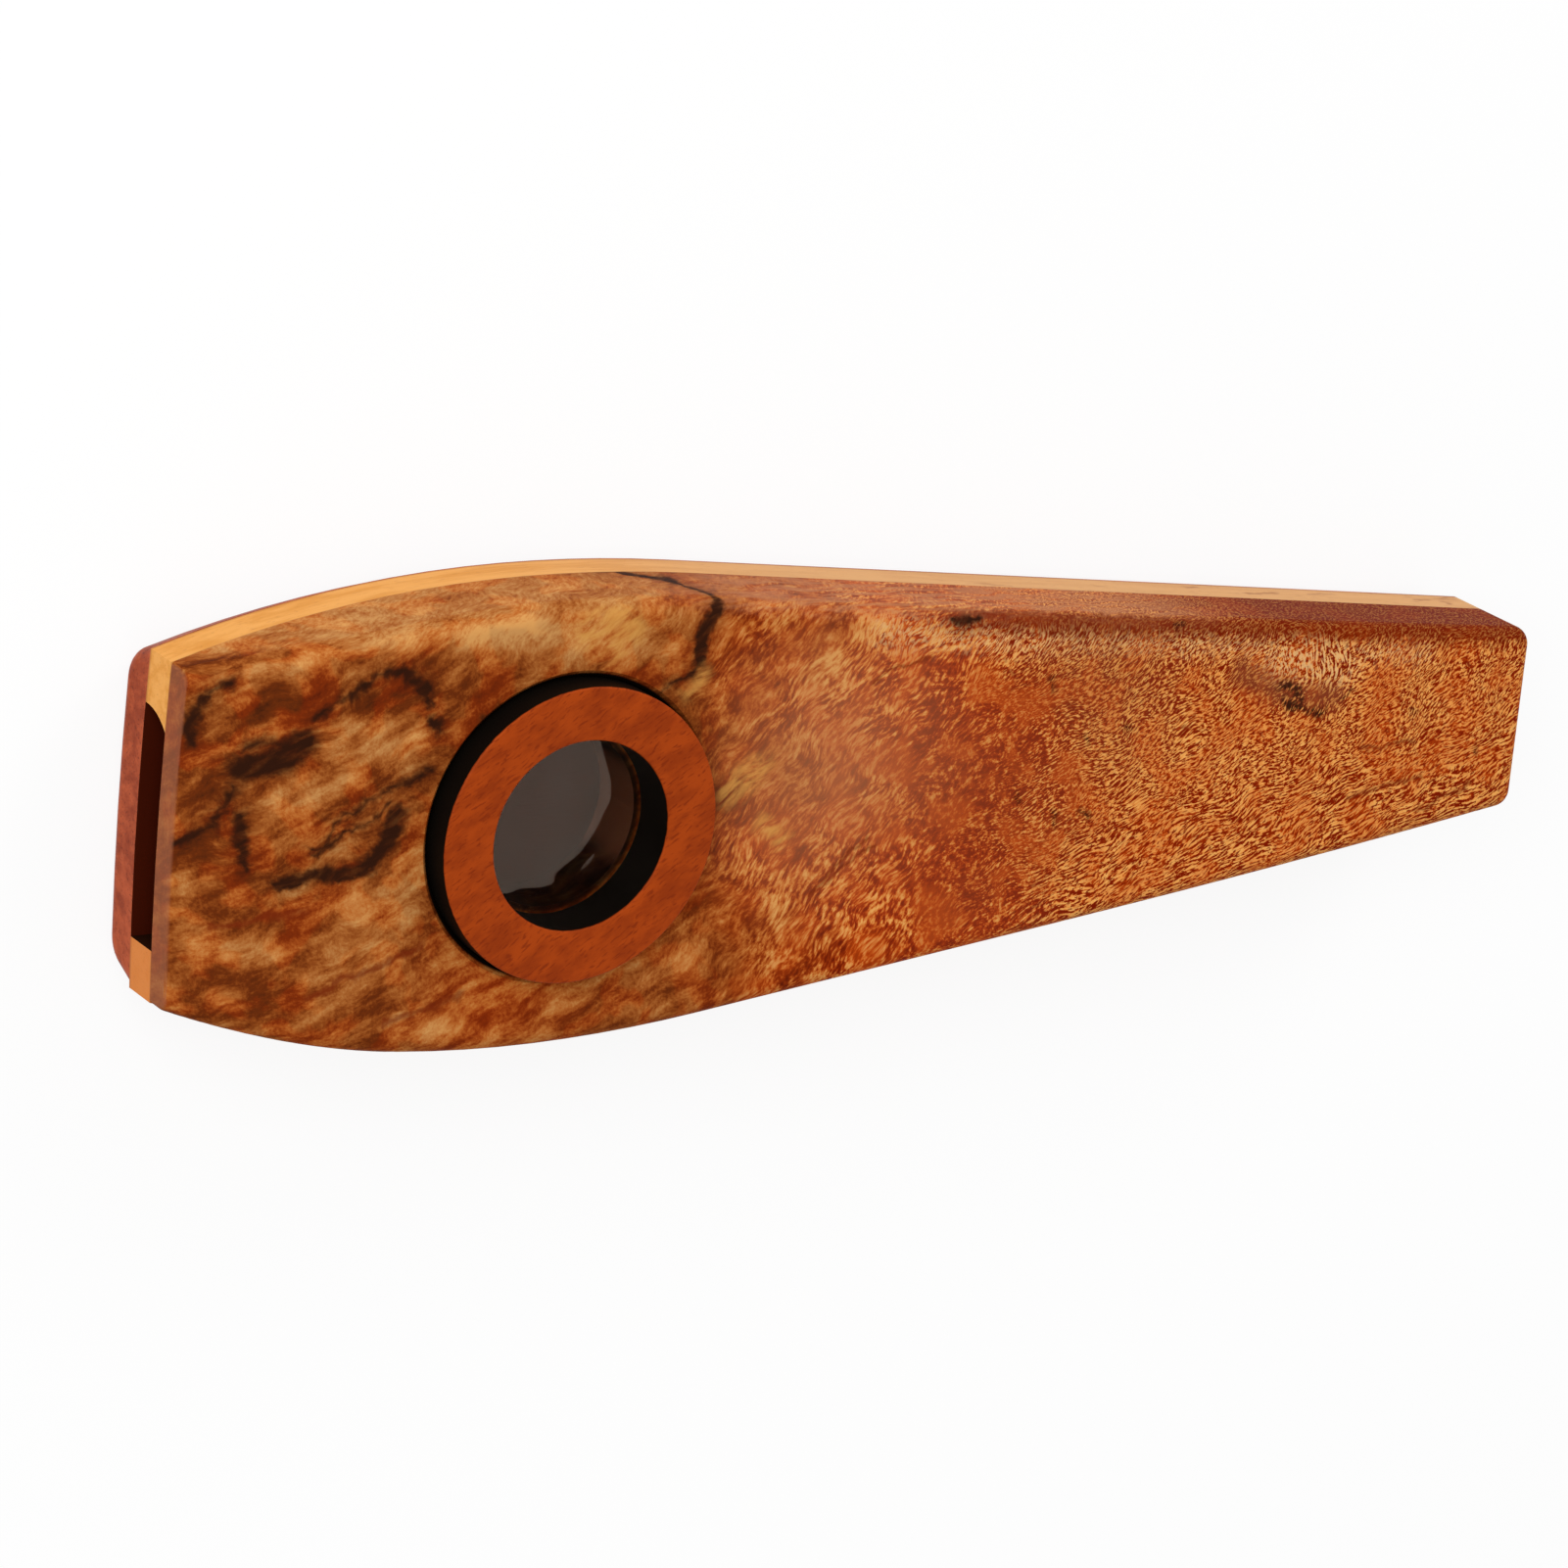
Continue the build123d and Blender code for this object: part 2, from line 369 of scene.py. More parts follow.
class Finish(Graph):
    """One material on object coordinates, in millimetres."""

    def __init__(self, name):
        self.material = bpy.data.materials.new(name)
        self.material.use_nodes = True
        super().__init__(self.material.node_tree)
        self.shader = self.tree.nodes["Principled BSDF"]
        coordinates = self.tree.nodes.new("ShaderNodeTexCoord")
        self.normal = coordinates.outputs["Normal"]
        self.place = self.scaled(coordinates.outputs["Object"], 1 / MM)

    def unrolled(self, level):
        """Flat place on the face at this level; the sides run on outwards as if folded up to it."""
        drop = self.math("SUBTRACT", level, self.axes(self.place)[2])
        lean_x, lean_y = self.axes(self.normal)[:2]
        on_end = self.band(self.math("ABSOLUTE", lean_x), 0.6, 0.9)
        inputs = {0: self.times(lean_x, on_end, drop), 1: self.times(lean_y, drop)}
        push = self.add("ShaderNodeCombineXYZ", inputs)
        return self.flat(self.vector("ADD", self.place, push))

    def flat(self, place):
        return self.vector("MULTIPLY", place, (1.0, 1.0, 0.0))

    def noise(self, place, scale=1.0, detail=2.0, roughness=0.5, out=0, flat=False):
        inputs = {"Vector": place, "Scale": scale, "Detail": detail, "Roughness": roughness}
        return self.add("ShaderNodeTexNoise", inputs, out, noise_dimensions="2D" if flat else "3D")

    def stretched(self, place, size, turn=0.0):
        """Place counted in grains of this size, turned about Z."""
        inputs = {"Vector": place, "Rotation": (0.0, 0.0, turn), "Scale": size}
        return self.add("ShaderNodeMapping", inputs, vector_type="TEXTURE")

    def warped(self, place, scale, amount, detail=2.0, flat=False):
        """Place pushed about by noise, by up to half this many millimetres."""
        noise = self.noise(place, scale, detail, out=1, flat=flat)
        push = self.vector("SUBTRACT", noise, (0.5, 0.5, 0.5))
        reach = (amount, amount, 0.0 if flat else amount)
        return self.vector("MULTIPLY_ADD", push, reach, place)

    def grain(self, place, size, turn=0.0, detail=3.0, roughness=0.6):
        """Flat noise in grains of this length and width."""
        return self.noise(self.stretched(place, (*size, 1.0), turn), 1.0, detail, roughness, flat=True)

    def swing(self, noise, amount):
        """Noise turned about 0, with this much between its ends."""
        return self.math("MULTIPLY_ADD", noise, amount, -0.5 * amount)

    def arcs(self, place, centre, width, turns):
        """Noise in streaks this wide that run round a centre."""
        away = self.vector("SUBTRACT", place, (*centre, 0.0))
        x, y = self.axes(away)[:2]
        reach = self.math("DIVIDE", self.vector("LENGTH", away), width)
        angle = self.times(self.math("ARCTAN2", y, x), turns)
        place = self.add("ShaderNodeCombineXYZ", {0: reach, 1: angle})
        return self.noise(place, 1.0, 1.0, flat=True)

    def mix(self, amount, first, second):
        inputs = {0: amount, 6: first, 7: second}
        return self.add("ShaderNodeMix", inputs, 2, data_type="RGBA", clamp_factor=True)

    def blend(self, amount, first, second):
        return self.add("ShaderNodeMix", {0: amount, 2: first, 3: second}, clamp_factor=True)

    def ramp(self, value, stops):
        """Colour read off a scale of (position, colour) stops."""
        node = self.tree.nodes.new("ShaderNodeValToRGB")
        scale = node.color_ramp.elements
        while len(scale) < len(stops):
            scale.new(1.0)
        for element, (position, shade) in zip(scale, stops):
            element.position = position
            element.color = shade
        self.tree.links.new(value, node.inputs[0])
        return node.outputs[0]

    def blob(self, place, centre, radius):
        """1 at the centre of a round patch, falling to 0 at its radius."""
        return self.band(self.vector("DISTANCE", place, (*centre, 0.0)), radius, 0.0)

    def gap(self, place, family):
        """Distance to the nearest of a family of strokes, below 0 inside one."""
        nearest = 1000.0
        for half_width, points in family:
            for start, stop in zip(points, points[1:]):
                foot = Vector((*start, 0.0))
                run = Vector((*stop, 0.0)) - foot
                away = self.vector("SUBTRACT", place, tuple(foot))
                along = self.vector("DOT_PRODUCT", away, tuple(run / run.length_squared))
                along = self.math("MINIMUM", self.math("MAXIMUM", along, 0.0), 1.0)
                across = self.vector("DISTANCE", away, self.scaled(tuple(run), along))
                nearest = self.math("MINIMUM", nearest, self.math("SUBTRACT", across, half_width))
        return nearest

    def strokes(self, place, family, soft):
        """1 inside a family of strokes and 0 outside, with a soft edge."""
        return self.band(self.gap(place, family), soft, -soft)

    def bump(self, height, strength, depth):
        inputs = {"Height": height, "Strength": strength, "Distance": depth * MM}
        self.feed(self.shader.inputs["Normal"], self.add("ShaderNodeBump", inputs))

    def finish(self, **inputs):
        for name, value in inputs.items():
            self.feed(self.shader.inputs[name.replace("_", " ")], value)
        return self.material


def dress(node, material):
    """Gives a carried-over CAD node its finish."""
    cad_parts[node].material_slots[0].material = material


def grown(name, tree, values):
    """Plain mesh piece at the origin, grown by a geometry tree with these named inputs."""
    piece = bpy.data.objects.new(name, bpy.data.meshes.new(name))
    bpy.context.scene.collection.objects.link(piece)
    modifier = piece.modifiers.new(name, "NODES")
    modifier.node_group = tree
    for item in tree.interface.items_tree:
        if item.in_out == "INPUT" and item.name in values:
            modifier[item.identifier] = values[item.name]
    graph = bpy.context.evaluated_depsgraph_get()
    mesh = bpy.data.meshes.new_from_object(piece.evaluated_get(graph))
    piece.modifiers.remove(modifier)
    piece.data = mesh
    if not mesh.polygons:
        raise RuntimeError(name + " came out empty")
    mesh.set_sharp_from_angle(angle=math.radians(35))
    return piece


class Growth(Graph):
    """Geometry tree with named inputs; output() closes it."""

    def __init__(self, name, **inputs):
        super().__init__(bpy.data.node_groups.new(name, "GeometryNodeTree"))
        for label, kind in inputs.items():
            self.tree.interface.new_socket(label, in_out="INPUT", socket_type="NodeSocket" + kind)
        self.tree.interface.new_socket("Geometry", in_out="OUTPUT", socket_type="NodeSocketGeometry")
        self.inputs = self.tree.nodes.new("NodeGroupInput").outputs

    def joined(self, *parts):
        join = self.tree.nodes.new("GeometryNodeJoinGeometry")
        for part in parts:
            self.tree.links.new(part, join.inputs[0])
        return join.outputs[0]

    def output(self, geometry):
        geometry = self.add("GeometryNodeRealizeInstances", {"Geometry": geometry})
        inputs = {"Geometry": geometry, "Material": self.inputs["Material"]}
        geometry = self.add("GeometryNodeSetMaterial", inputs)
        self.tree.links.new(geometry, self.tree.nodes.new("NodeGroupOutput").inputs[0])
        return self.tree


class FrontWood(Finish):
    """Clouded wood toward the mouth, streaked past the ring and flecked toward the narrow end."""

    def __init__(self, look):
        super().__init__("flecked_front_wood")
        self.look = look
        self.sheet = self.unrolled(self.face_level())
        self.x, self.y = self.axes(self.sheet)[:2]
        rim = self.math("MULTIPLY_ADD", self.x, RIM_SLOPE, RIM_MIDDLE)
        self.up_rim = self.math("SUBTRACT", self.y, rim)
        self.sway = self.warped(self.sheet, 0.2, 2.0, 1.0, flat=True)
        self.drift = self.warped(self.sheet, 0.1, 5.0, 2.0, flat=True)
        ragged = self.warped(self.sheet, 0.35, 1.4, flat=True)
        self.ragged = self.warped(ragged, 1.6, 0.6, flat=True)
        self.set_grains()
        self.set_zones()

    def face_level(self):
        """Level of the face at each place along the body."""
        body_x = self.axes(self.place)[0]
        level = plate_high.z / MM
        for start, run, dip in FACE_DIPS:
            share = self.most(self.math("MULTIPLY_ADD", body_x, 1 / run, -start / run), 0.0)
            level = self.math("SUBTRACT", level, self.times(share, share, dip))
        return level

    def set_grains(self):
        """Noises in the sizes and directions of the wood's marks."""
        sway = self.sway
        fleck = (self.look.fleck_length, self.look.fleck_width)
        self.clouds = self.grain(self.drift, (9.0, 2.6), 0.5, 4.0)
        self.mottle = self.grain(sway, (3.0, 0.75), 0.5, 3.0, 0.5)
        self.flecks = self.directed(fleck)
        self.grit = self.noise(sway, 3.4, 2.0, 0.7, flat=True)
        self.puffs = self.noise(sway, 0.45, 3.0, 0.6, flat=True)
        self.blotches = self.noise(sway, 1.3, 3.0, 0.65, flat=True)
        self.coarse = self.grain(sway, (0.95, 0.3), 0.95)
        self.pores = self.grain(self.sheet, fleck, 0.4, 1.0, 0.5)

    def directed(self, fleck):
        """Flecks along the body, steeper at the upper rim, by the knot and at the narrow end.

        They draw out into long waves along the lower edge and curl round the knot.
        """
        steep = self.band(self.up_rim, -6.0, -1.0)
        for centre, radius in STEEP_AREAS:
            steep = self.most(steep, self.blob(self.sheet, centre, radius))
        lying = self.grain(self.sway, fleck, 0.35)
        rising = self.grain(self.sway, fleck, 1.0)
        flecks = self.blend(self.band(steep, 0.15, 0.5), lying, rising)
        waves = self.grain(self.sway, (1.8, 0.22), 0.3, 2.0, 0.5)
        low = self.band(self.raised(self.y, self.x, -0.13), -4.0, -11.0)
        flecks = self.blend(self.times(low, self.band(self.x, 4.0, 20.0)), flecks, waves)
        curl = self.arcs(self.sway, (32.5, 7.0), 0.26, 9.0)
        by_knot = self.band(self.blob(self.sheet, (40.0, 8.4), 6.5), 0.1, 0.5)
        return self.blend(by_knot, flecks, curl)

    def set_zones(self):
        """Shares of the plate that each kind of figure takes."""
        wander = self.swing(self.noise(self.sheet, 0.09, flat=True), 24.0)
        self.narrow_half = self.band(self.plus(self.x, wander), -26.0, 6.0)
        self.flecked = self.band(self.raised(self.x, wander, 0.6), 0.0, 17.0)
        calm = [self.blob(self.drift, centre, radius) for centre, radius in CALM_AREAS]
        self.calm = self.most(*calm)
        # Pale figure along the upper rim, partly a painted highlight
        self.silky = self.strokes(self.ragged, PALE_RIM_FIGURE_AND_HIGHLIGHT, 1.4)
        self.knot = self.strokes(self.ragged, KNOT_CLOUDS, 1.0)
        # The colours of the upper rim end in a ragged fringe
        rough = self.plus(self.swing(self.blotches, 1.8), self.swing(self.coarse, 1.6))
        self.fringe = self.plus(self.up_rim, rough)
        burnt = self.times(self.band(self.fringe, 3.4, 1.8), self.band(self.x, -5.0, 12.0))
        burnt = self.most(burnt, self.band(self.x, 18.0, 40.0))
        self.burnt_rim = self.times(self.band(self.fringe, -0.6, 0.9), burnt)

    def cloudy(self):
        """Tone of the mouth half about 0, paler along the upper rim as a painted highlight."""
        swing = self.swing
        mouth_side = self.band(self.x, -15.0, -30.0)
        # Painted highlight: the tone is lifted near the upper rim
        upper = self.times(self.band(self.up_rim, -4.5, -1.5), mouth_side)
        lower = self.times(self.band(self.y, -7.0, -10.0), mouth_side)
        tone = self.plus(swing(self.clouds, 0.6), swing(self.mottle, 0.42))
        tone = self.plus(tone, self.plus(swing(self.puffs, 0.4), swing(self.grit, 0.28)))
        tone = self.times(tone, self.raised(1.0, upper, -0.35))
        tone = self.raised(tone, upper, self.plus(swing(self.coarse, 0.4), 0.19))
        return self.plus(self.raised(tone, lower, 0.05), -0.02)

    def streaky(self):
        """Tone past the ring about 0, in streaks that sweep round the smooth wood."""
        swing = self.swing
        sweep = (6.0, -14.0)
        feather = self.arcs(self.sway, sweep, 0.45, 9.0)
        strands = self.arcs(self.sway, sweep, 0.22, 6.0)
        tone = self.plus(swing(feather, 1.0), swing(strands, 0.35))
        tone = self.plus(tone, self.plus(swing(self.clouds, 0.55), swing(self.blotches, 0.6)))
        tone = self.plus(tone, swing(self.coarse, 2.1))
        return self.plus(tone, self.plus(swing(self.puffs, 1.1), 0.07))

    def flecky(self):
        """Tone of the narrow half about 0: streaks, then flecks, with less of both where it is calm."""
        swing = self.swing
        tone = self.plus(swing(self.flecks, 6.2), swing(self.grit, 1.4))
        tone = self.plus(tone, self.plus(swing(self.puffs, 1.0), swing(self.clouds, 0.3)))
        tone = self.blend(self.flecked, self.streaky(), tone)
        tone = self.times(tone, self.raised(1.0, self.calm, -0.6))
        soft = self.plus(swing(self.grit, 0.5), swing(self.blotches, 1.0))
        tone = self.raised(tone, self.calm, soft)
        return self.plus(tone, self.raised(-0.05, self.calm, -0.09))

    def tone(self):
        """Dark to pale over the whole plate, around 0.5."""
        tone = self.plus(0.5, self.blend(self.narrow_half, self.cloudy(), self.flecky()))
        tone = self.raised(tone, self.strokes(self.ragged, PALE_CLOUDS_AND_RIM_HIGHLIGHT, 1.1), 0.17)
        # Paler along the upper rim: partly a painted highlight
        tone = self.raised(tone, self.silky, 0.08)
        tone = self.raised(tone, self.strokes(self.ragged, BROWN_CLOUDS, 1.6), -0.13)
        tone = self.raised(tone, self.knot, -0.46)
        return self.raised(tone, self.burnt_rim, -0.32)

    def coloured(self, tone):
        """Colour of the two halves, each read off its own scale of tones."""
        look = self.look
        mouth_half = self.ramp(
            tone,
            (
                (0.08, look.umber),
                (0.38, look.brown),
                (0.50, look.chestnut),
                (0.62, look.tan),
                (0.85, look.straw),
            ),
        )
        end_half = self.ramp(
            tone,
            (
                (0.12, look.maroon),
                (0.40, look.rust),
                (0.50, look.amber),
                (0.61, look.orange),
                (0.90, look.cream),
            ),
        )
        ruddy = self.times(self.band(self.noise(self.drift, 0.28, flat=True), 0.46, 0.6), 0.28)
        glow = self.times(self.blob(self.drift, (-37.0, -13.0), 12.0), 0.5)
        return self.mix(self.most(self.narrow_half, ruddy, glow), mouth_half, end_half)

    def tinted(self, shade):
        """Warm clouds, scattered flecks, the painted highlight along the rim, dull patches, and the side
        with its painted sheen and burnt colour.
        """
        look = self.look
        embers = self.band(self.noise(self.sway, 0.22, 2.0, flat=True), 0.45, 0.62)
        shade = self.mix(self.times(embers, self.times(self.narrow_half, 0.55)), shade, look.ember)
        sparks = self.grain(self.sway, (0.6, 0.19), 0.55, 2.0)
        lively = self.times(self.flecked, self.band(self.calm, 0.7, 0.2))
        shade = self.mix(self.times(self.band(sparks, 0.55, 0.62), lively, 0.8), shade, look.gold)
        shade = self.mix(self.times(self.band(sparks, 0.46, 0.37), lively, 0.95), shade, look.maroon)
        # Pale flecks along the upper rim: a painted highlight
        rim_highlight_share = self.times(self.silky, self.band(self.flecks, 0.46, 0.6), 0.75)
        shade = self.mix(rim_highlight_share, shade, look.fleck_highlight)
        pale = self.times(self.blob(self.drift, (-7.0, 3.0), 17.0), 0.5)
        shade = self.mix(pale, shade, look.dun_and_side_sheen)
        dull = self.times(self.blob(self.sheet, (18.0, 8.0), 14.0), 0.28)
        dull = self.most(dull, self.times(self.calm, 0.32), self.times(self.knot, 0.45))
        shade = self.mix(dull, shade, look.haze)
        # Painted sheen along the upper side, streaked by the grain
        side = self.times(self.band(self.fringe, 0.4, 2.6), self.band(self.x, -30.0, -12.0))
        side = self.times(side, self.band(self.x, 36.0, 22.0))
        drag = self.band(self.grain(self.sway, (6.0, 0.7)), 0.35, 0.62)
        shade = self.mix(self.times(side, self.raised(0.25, drag, 0.55)), shade, look.dun_and_side_sheen)
        return self.mix(self.times(self.burnt_rim, 0.72), shade, look.singe)

    def marked(self, shade):
        """Lines, streaks and patches of the figure, the scorched seat, painted shade on the hole wall
        under the film, and the end grain of the lip with a painted sheen.
        """
        look = self.look
        worn = self.raised(0.85, self.band(self.mottle, 0.65, 0.4), 0.15)
        broken = self.band(self.flecks, 0.66, 0.46)
        spalt = self.plus(self.gap(self.ragged, SPALT_LINES), self.swing(self.puffs, 1.2))
        shade = self.mix(self.times(self.band(spalt, 1.6, 0.0), 0.25), shade, look.umber)
        shade = self.mix(self.times(self.band(spalt, 0.42, -0.3), worn), shade, look.spalt)
        for family, soft, strength, gaps, tint in (
            (PALE_PATCHES, 0.9, 0.7, self.band(self.mottle, 0.3, 0.6), look.patch),
            (RED_STREAKS, 0.25, 0.8, worn, look.streak),
            (DARK_SPECKS, 0.4, 0.95, broken, look.spalt),
            (SPALT_PATCHES, 0.65, 1.0, worn, look.spalt),
        ):
            share = self.times(self.strokes(self.ragged, family, soft), strength, gaps)
            shade = self.mix(share, shade, tint)
        centre = (ring_centre.x / MM, ring_centre.y / MM, 0.0)
        reach = self.vector("DISTANCE", self.flat(self.place), centre)
        seat_wall = self.times(self.band(reach, 12.85, 12.6), self.band(reach, 11.0, 11.5))
        # The wall of the hole under the film is darkened with the char colour as painted shade
        hole_wall_shade = self.times(self.band(reach, 8.2, 7.6), 0.88)
        shade = self.mix(seat_wall, shade, look.char)
        shade = self.mix(hole_wall_shade, shade, look.char)
        # The lip's end face: end grain, paled further by a painted sheen
        lip_end_sheen = self.band(self.axes(self.normal)[0], -0.75, -0.95)
        return self.mix(self.times(lip_end_sheen, 0.55), shade, look.lip)


class KAZOO_OT_front_plate(bpy.types.Operator):
    """Flecked and spalted wood of the front plate"""

    bl_idname = "kazoo.front_plate"
    bl_label = "Front plate"

    def execute(self, context):
        look = context.scene.kazoo_front_plate
        wood = FrontWood(look)
        shade = wood.marked(wood.tinted(wood.coloured(wood.tone())))
        wood.bump(wood.pores, 0.25, 0.05)
        material = wood.finish(Base_Color=shade, Roughness=look.gloss, Specular_IOR_Level=0.005)
        dress("front_plate", material)
        return {"FINISHED"}


class KAZOO_OT_rails(bpy.types.Operator):
    """Golden wood of the two rails"""

    bl_idname = "kazoo.rails"
    bl_label = "Rails"

    def execute(self, context):
        look = context.scene.kazoo_rails
        wood = Finish("golden_rail_wood")
        place = wood.place
        x, y, z = wood.axes(place)
        lean_y = wood.axes(wood.normal)[1]
        wavy = wood.warped(place, 0.1, 1.5)
        grain = wood.noise(wood.stretched(wavy, (18.0, 1.1, 1.1)), 1.0, 4.0, 0.6)
        shade = wood.mix(wood.band(grain, 0.35, 0.62), look.honey, look.gold)
        shade = wood.mix(wood.times(wood.band(x, -40.0, -5.0), 0.55), shade, look.pale)
        shade = wood.mix(wood.times(wood.band(y, 2.0, -2.0), 0.8), shade, look.copper)
        pores = wood.noise(wood.stretched(place, (1.4, 0.17, 0.17)), 1.0, 2.0)
        shade = wood.mix(wood.times(wood.band(pores, 0.6, 0.75), 0.3), shade, look.stain)
        stains = wood.noise(wood.stretched(place, (4.5, 1.6, 1.4)), 1.0, 3.0, 0.6)
        stained = wood.times(wood.band(stains, 0.58, 0.7), wood.band(x, -10.0, 30.0), 0.65)
        shade = wood.mix(stained, shade, look.stain)
        # Darker along both glued seams; the walls facing the air channel get painted shade
        seam = wood.most(wood.band(z, 7.85, 8.0), wood.band(z, 4.75, 4.45))
        shade = wood.mix(wood.times(seam, 0.5), shade, look.stain)
        inward = wood.times(lean_y, wood.math("SIGN", y))
        shade = wood.mix(wood.band(inward, -0.25, -0.5), shade, look.channel_shade)
        wood.bump(pores, 0.12, 0.04)
        material = wood.finish(Base_Color=shade, Roughness=0.45, Specular_IOR_Level=0.04)
        dress("left_rail", material)
        dress("right_rail", material)
        return {"FINISHED"}


class KAZOO_OT_back_plate(bpy.types.Operator):
    """Reddish wood of the back plate"""

    bl_idname = "kazoo.back_plate"
    bl_label = "Back plate"

    def execute(self, context):
        look = context.scene.kazoo_back_plate
        wood = Finish("reddish_back_wood")
        wavy = wood.warped(wood.place, 0.05, 5.0)
        grain = wood.noise(wood.stretched(wavy, (26.0, 1.9, 1.9)), 1.0, 5.0, 0.62)
        shade = wood.mix(wood.band(grain, 0.33, 0.65), look.deep, look.red)
        pores = wood.noise(wood.stretched(wavy, (2.4, 0.22, 0.22)), 1.0, 2.0)
        shade = wood.mix(wood.times(wood.band(pores, 0.58, 0.7), 0.55), shade, look.pore)
        # The face turned up is the floor of the air channel, darkened as painted shade
        up = wood.axes(wood.normal)[2]
        shade = wood.mix(wood.band(up, 0.6, 0.9), shade, look.channel_shade)
        wood.bump(pores, 0.2, 0.05)
        dress("back_plate", wood.finish(Base_Color=shade, Roughness=0.42, Specular_IOR_Level=0.04))
        return {"FINISHED"}


class KAZOO_OT_ring(bpy.types.Operator):
    """Retaining ring with scorched walls"""

    bl_idname = "kazoo.ring"
    bl_label = "Ring"

    def execute(self, context):
        look = context.scene.kazoo_ring
        wood = Finish("ring_wood_scorched")
        place = wood.place
        z = wood.axes(place)[2]
        wavy = wood.warped(place, 0.2, 1.2)
        grain = wood.noise(wood.stretched(wavy, (4.0, 1.8, 1.8), 0.5), 1.0, 4.0, 0.6)
        tone = wood.mix(wood.times(wood.band(grain, 0.62, 0.34), 0.6), look.wood, look.streak)
        pores = wood.noise(wood.stretched(wavy, (0.9, 0.22, 0.22), 0.6), 1.0, 2.0)
        tone = wood.mix(wood.times(wood.band(pores, 0.54, 0.68), 0.75), tone, look.streak)
        # The walls are scorched up to just under the face
        level = wood.raised(z, wood.noise(place, 1.5), 0.12)
        face = look.top / MM
        scorch = wood.band(level, face - 0.02, face - 0.16)
        tone = wood.mix(scorch, tone, look.char)
        wood.bump(pores, 0.15, 0.04)
        material = wood.finish(Base_Color=tone, Roughness=0.46, Specular_IOR_Level=0.04)

        tree = Growth(
            "Retaining ring",
            Outer="Float",
            Bore="Float",
            Bottom="Float",
            Top="Float",
            Edge="Float",
            Facets="Int",
            Centre="Vector",
            Material="Material",
        )
        sizes = tree.inputs
        wall = tree.math("SUBTRACT", sizes["Outer"], sizes["Bore"])
        height = tree.math("SUBTRACT", sizes["Top"], sizes["Bottom"])
        section = tree.add("GeometryNodeCurvePrimitiveQuadrilateral", {"Width": wall, "Height": height})
        inputs = {"Curve": section, "Radius": sizes["Edge"], "Count": 4}
        section = tree.add("GeometryNodeFilletCurve", inputs, mode="POLY")
        middle = tree.times(tree.plus(sizes["Outer"], sizes["Bore"]), 0.5)
        inputs = {"Resolution": sizes["Facets"], "Radius": middle}
        path = tree.add("GeometryNodeCurvePrimitiveCircle", inputs)
        body = tree.add("GeometryNodeCurveToMesh", {"Curve": path, "Profile Curve": section})
        body = tree.add("GeometryNodeTransform", {"Geometry": body, "Translation": sizes["Centre"]})
        body = tree.add("GeometryNodeSetShadeSmooth", {"Geometry": body})
        values = {
            "Outer": look.outer_radius,
            "Bore": look.bore_radius,
            "Bottom": look.bottom,
            "Top": look.top,
            "Edge": look.edge,
            "Facets": look.facets,
            "Centre": (ring_centre.x, ring_centre.y, (look.top + look.bottom) / 2),
            "Material": material,
        }
        ring = grown("retaining_ring", tree.output(body), values)
        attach(ring, "ring")
        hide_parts("membrane_ring")
        return {"FINISHED"}


